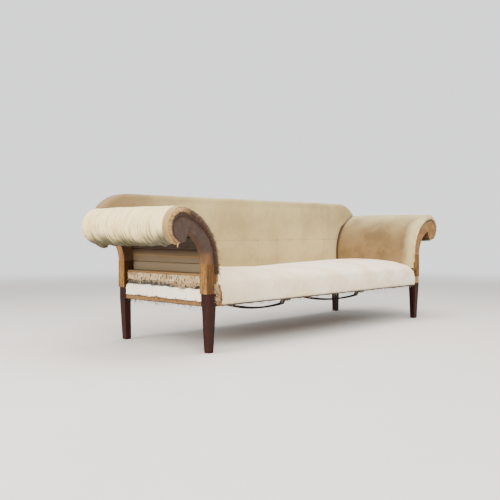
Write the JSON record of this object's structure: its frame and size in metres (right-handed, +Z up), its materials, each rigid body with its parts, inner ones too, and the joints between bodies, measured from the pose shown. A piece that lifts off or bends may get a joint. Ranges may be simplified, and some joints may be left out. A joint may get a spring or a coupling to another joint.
{
  "type": "scroll arm sofa",
  "caption": "Long scroll arm sofa stripped to its linings: square tapered mahogany legs, raw hardwood frame, rolled arms, calico seat and bowed iron straps.",
  "frame": {"origin": "on the floor, below the middle of the sofa's bounding box", "axes": "+X along the seat to the viewer's right from the front, +Y from front to back, +Z up"},
  "size_m": [2.444, 0.7176, 0.7848],
  "materials": {
    "leg_mahogany": "polished below the seat, raw above",
    "scroll_dark": "old dark stain, matt",
    "scroll_tan": "raw, matt, pricked with tack holes",
    "frame_wood": "raw sawn hardwood",
    "slat_wood": "raw, aged brown",
    "black_iron": "wrought flat bar, blackened",
    "steel": "dull",
    "spring_steel": "dull drawn wire",
    "jute_web": "plain woven",
    "hessian": "open plain weave",
    "stuffing": "hair and wadding",
    "calico": "unbleached, soft",
    "arm_lining": "aged plain weave",
    "back_linen": "plain weave"
  },
  "bodies": {
    "root": {"front_leg_left": "leg_mahogany", "front_leg_right": "leg_mahogany", "rear_leg_left": "leg_mahogany", "rear_leg_right": "leg_mahogany", "front_scroll_board_left": "scroll_dark", "front_scroll_board_right": "scroll_tan", "rear_scroll_board_left": "frame_wood", "rear_scroll_board_right": "frame_wood", "side_seat_rail_left": "frame_wood", "side_seat_rail_right": "frame_wood", "arm_top_rail_left": "frame_wood", "arm_top_rail_right": "frame_wood", "arm_nose_rail_left": "frame_wood", "arm_nose_rail_right": "frame_wood", "arm_tacking_rail_left": "frame_wood", "arm_tacking_rail_right": "frame_wood", "back_post_left": "frame_wood", "back_post_right": "frame_wood", "back_muntin_left": "frame_wood", "back_muntin_right": "frame_wood", "back_wing_board_left": "frame_wood", "back_wing_board_right": "frame_wood", "front_seat_rail": "frame_wood", "rear_seat_rail": "frame_wood", "back_stuffing_rail": "frame_wood", "back_top_rail": "frame_wood", "corner_blocks": "frame_wood", "scroll_tenons": "frame_wood", "arm_slats_left": "slat_wood", "arm_slats_right": "slat_wood", "iron_stretcher_left": "black_iron", "iron_stretcher_right": "black_iron", "stretcher_nails": "steel", "seat_springs": "spring_steel", "seat_cross_webs": "jute_web", "seat_long_webs": "jute_web", "back_webs": "jute_web", "seat_hessian": "hessian", "back_hessian": "hessian", "seat_pad": "stuffing", "back_pad": "stuffing", "arm_pad_left": "stuffing", "arm_pad_right": "stuffing", "seat_cover": "calico", "calico_flap_left": "calico", "calico_flap_right": "calico", "arm_cover_left": "arm_lining", "arm_cover_right": "arm_lining", "back_cover": "back_linen"}
  },
  "joints": []
}
